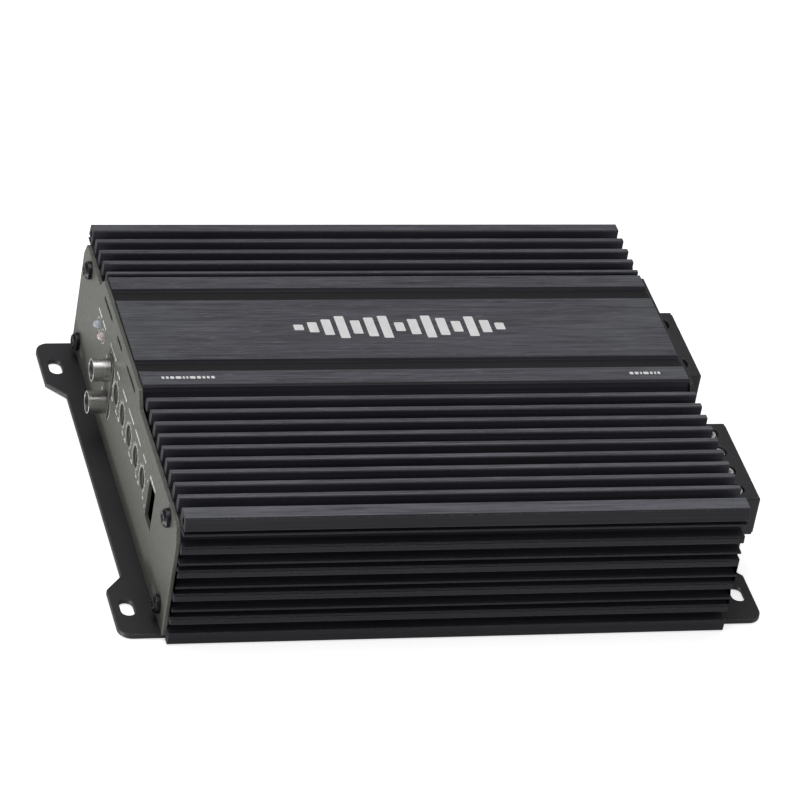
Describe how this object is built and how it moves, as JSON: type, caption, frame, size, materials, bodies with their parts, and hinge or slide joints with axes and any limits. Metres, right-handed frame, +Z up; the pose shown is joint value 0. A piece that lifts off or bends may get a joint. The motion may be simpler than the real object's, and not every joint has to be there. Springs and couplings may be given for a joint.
{
  "type": "car amplifier",
  "caption": "Compact car audio amplifier: black finned extrusion with a raised brushed top, phono inputs, adjusters, screw terminals, blade fuses and a slotted mounting plate.",
  "frame": {"origin": "centre of the mounting plate's underside", "axes": "+X along the extrusion towards the terminal panel, +Y towards the short fin group at the back, +Z up"},
  "size_m": [0.2316, 0.179, 0.0528],
  "materials": {
    "black_anodised": "matte black anodised extrusion, brushed on the raised lands",
    "black_powder_coat": "fine-textured black powder coat",
    "graphite_paint": "satin graphite grey paint with white print",
    "black_screw": "black oxide",
    "bright_screw": "zinc plated",
    "dark_screw": "black oxide, oiled",
    "nickel_shell": "nickel plated, softly polished",
    "terminal_metal": "nickel plated brass",
    "gold_contact": "gold flash",
    "black_plastic": "moulded, fine grain",
    "grey_plastic": "moulded, fine grain",
    "knob_plastic": "moulded, satin",
    "blue_plastic": "moulded",
    "board_laminate": "solder mask over glass laminate",
    "led_clear": "water-clear lens",
    "led_red": "diffused lens",
    "fuse_plastic": "translucent orange moulding",
    "fuse_metal": "zinc blade",
    "copper": "tinned copper spring",
    "copper_wire": "enamelled copper",
    "ferrite": "sintered ferrite",
    "can_aluminium": "drawn can",
    "sleeve_vinyl": "heat-shrunk sleeve",
    "transistor_epoxy": "moulded epoxy with tinned tab and legs",
    "thermal_pad": "soft silicone pad",
    "clamp_steel": "zinc plated bar",
    "standoff_brass": "turned brass"
  },
  "bodies": {
    "root": {"heatsink_shell": "black_anodised", "base_plate": "black_powder_coat", "control_end_panel": "graphite_paint", "terminal_end_panel": "black_powder_coat", "control_panel_screws": "black_screw", "terminal_panel_screws": "black_screw", "base_plate_screws": "black_screw", "board_standoffs": "standoff_brass", "board_screws": "bright_screw", "main_board": "board_laminate", "control_board": "board_laminate", "board_headers": "black_plastic", "phono_housing": "grey_plastic", "phono_shells": "nickel_shell", "phono_insulators": "black_plastic", "phono_contacts": "gold_contact", "adjuster_bodies": "blue_plastic", "signal_socket": "black_plastic", "signal_pins": "gold_contact", "power_led": "led_clear", "protect_led": "led_red", "speaker_terminal_housing": "black_plastic", "speaker_terminal_barrels": "terminal_metal", "supply_terminal_housing": "black_plastic", "supply_terminal_barrels": "terminal_metal", "fuse_holder": "black_plastic", "fuse_clips": "copper", "transformer_core": "ferrite", "transformer_windings": "copper_wire", "output_choke": "copper_wire", "capacitor_cans": "can_aluminium", "capacitor_sleeves": "sleeve_vinyl", "power_transistors": "transistor_epoxy", "thermal_pads": "thermal_pad", "clamp_bars": "clamp_steel", "clamp_screws": "black_screw"},
    "gain_adjuster": {"gain_knob": "knob_plastic"},
    "low_pass_adjuster": {"low_pass_knob": "knob_plastic"},
    "subsonic_adjuster": {"subsonic_knob": "knob_plastic"},
    "bass_boost_adjuster": {"bass_boost_knob": "knob_plastic"},
    "phase_adjuster": {"phase_knob": "knob_plastic"},
    "speaker_1_pad": {"speaker_pad_1": "terminal_metal"},
    "speaker_1_screw": {"speaker_screw_1": "bright_screw"},
    "speaker_2_pad": {"speaker_pad_2": "terminal_metal"},
    "speaker_2_screw": {"speaker_screw_2": "bright_screw"},
    "speaker_3_pad": {"speaker_pad_3": "terminal_metal"},
    "speaker_3_screw": {"speaker_screw_3": "bright_screw"},
    "speaker_4_pad": {"speaker_pad_4": "terminal_metal"},
    "speaker_4_screw": {"speaker_screw_4": "bright_screw"},
    "battery_pad": {"battery_pad": "terminal_metal"},
    "battery_screw": {"battery_screw": "dark_screw"},
    "remote_pad": {"remote_pad": "terminal_metal"},
    "remote_screw": {"remote_screw": "bright_screw"},
    "ground_pad": {"ground_pad": "terminal_metal"},
    "ground_screw": {"ground_screw": "dark_screw"},
    "fuse_a": {"fuse_a": "fuse_plastic", "fuse_a_element": "fuse_metal"},
    "fuse_b": {"fuse_b": "fuse_plastic", "fuse_b_element": "fuse_metal"}
  },
  "joints": [
    {"name": "gain_turn", "type": "hinge", "parent": "root", "child": "gain_adjuster", "pos_m": [-0.097, 0.016, 0.0289], "axis": [-1, 0, 0], "range_deg": [-140, 140]},
    {"name": "low_pass_turn", "type": "hinge", "parent": "root", "child": "low_pass_adjuster", "pos_m": [-0.097, 0.0036, 0.0289], "axis": [-1, 0, 0], "range_deg": [-140, 140]},
    {"name": "subsonic_turn", "type": "hinge", "parent": "root", "child": "subsonic_adjuster", "pos_m": [-0.097, -0.0088, 0.0289], "axis": [-1, 0, 0], "range_deg": [-140, 140]},
    {"name": "bass_boost_turn", "type": "hinge", "parent": "root", "child": "bass_boost_adjuster", "pos_m": [-0.097, -0.0212, 0.0289], "axis": [-1, 0, 0], "range_deg": [-140, 140]},
    {"name": "phase_turn", "type": "hinge", "parent": "root", "child": "phase_adjuster", "pos_m": [-0.097, -0.0336, 0.0289], "axis": [-1, 0, 0], "range_deg": [-140, 140]},
    {"name": "speaker_1_clamp", "type": "slide", "parent": "root", "child": "speaker_1_pad", "axis": [0, 0, -1], "range_m": [0, 0.004]},
    {"name": "speaker_1_turn", "type": "hinge", "parent": "speaker_1_pad", "child": "speaker_1_screw", "pos_m": [0.1054, -0.02685, 0.036], "axis": [0, 0, -1], "range_deg": [0, 1441]},
    {"name": "speaker_2_clamp", "type": "slide", "parent": "root", "child": "speaker_2_pad", "axis": [0, 0, -1], "range_m": [0, 0.004]},
    {"name": "speaker_2_turn", "type": "hinge", "parent": "speaker_2_pad", "child": "speaker_2_screw", "pos_m": [0.1054, -0.03795, 0.036], "axis": [0, 0, -1], "range_deg": [0, 1441]},
    {"name": "speaker_3_clamp", "type": "slide", "parent": "root", "child": "speaker_3_pad", "axis": [0, 0, -1], "range_m": [0, 0.004]},
    {"name": "speaker_3_turn", "type": "hinge", "parent": "speaker_3_pad", "child": "speaker_3_screw", "pos_m": [0.1054, -0.04905, 0.036], "axis": [0, 0, -1], "range_deg": [0, 1441]},
    {"name": "speaker_4_clamp", "type": "slide", "parent": "root", "child": "speaker_4_pad", "axis": [0, 0, -1], "range_m": [0, 0.004]},
    {"name": "speaker_4_turn", "type": "hinge", "parent": "speaker_4_pad", "child": "speaker_4_screw", "pos_m": [0.1054, -0.06015, 0.036], "axis": [0, 0, -1], "range_deg": [0, 1441]},
    {"name": "battery_clamp", "type": "slide", "parent": "root", "child": "battery_pad", "axis": [0, 0, -1], "range_m": [0, 0.0035]},
    {"name": "battery_turn", "type": "hinge", "parent": "battery_pad", "child": "battery_screw", "pos_m": [0.106, 0.041, 0.036], "axis": [0, 0, -1], "range_deg": [0, 1009]},
    {"name": "remote_clamp", "type": "slide", "parent": "root", "child": "remote_pad", "axis": [0, 0, -1], "range_m": [0, 0.0021]},
    {"name": "remote_turn", "type": "hinge", "parent": "remote_pad", "child": "remote_screw", "pos_m": [0.106, 0.0286, 0.036], "axis": [0, 0, -1], "range_deg": [0, 1081]},
    {"name": "ground_clamp", "type": "slide", "parent": "root", "child": "ground_pad", "axis": [0, 0, -1], "range_m": [0, 0.0035]},
    {"name": "ground_turn", "type": "hinge", "parent": "ground_pad", "child": "ground_screw", "pos_m": [0.106, 0.0162, 0.036], "axis": [0, 0, -1], "range_deg": [0, 1009]},
    {"name": "fuse_a_pull", "type": "slide", "parent": "root", "child": "fuse_a", "axis": [1, 0, 0], "range_m": [0, 0.015]},
    {"name": "fuse_b_pull", "type": "slide", "parent": "root", "child": "fuse_b", "axis": [1, 0, 0], "range_m": [0, 0.015]}
  ],
  "couplings": [
    {"joint": "speaker_1_turn", "follows": "speaker_1_clamp", "rad_per_m": 6283.2},
    {"joint": "speaker_2_turn", "follows": "speaker_2_clamp", "rad_per_m": 6283.2},
    {"joint": "speaker_3_turn", "follows": "speaker_3_clamp", "rad_per_m": 6283.2},
    {"joint": "speaker_4_turn", "follows": "speaker_4_clamp", "rad_per_m": 6283.2},
    {"joint": "battery_turn", "follows": "battery_clamp", "rad_per_m": 5026.5},
    {"joint": "remote_turn", "follows": "remote_clamp", "rad_per_m": 8976},
    {"joint": "ground_turn", "follows": "ground_clamp", "rad_per_m": 5026.5}
  ]
}
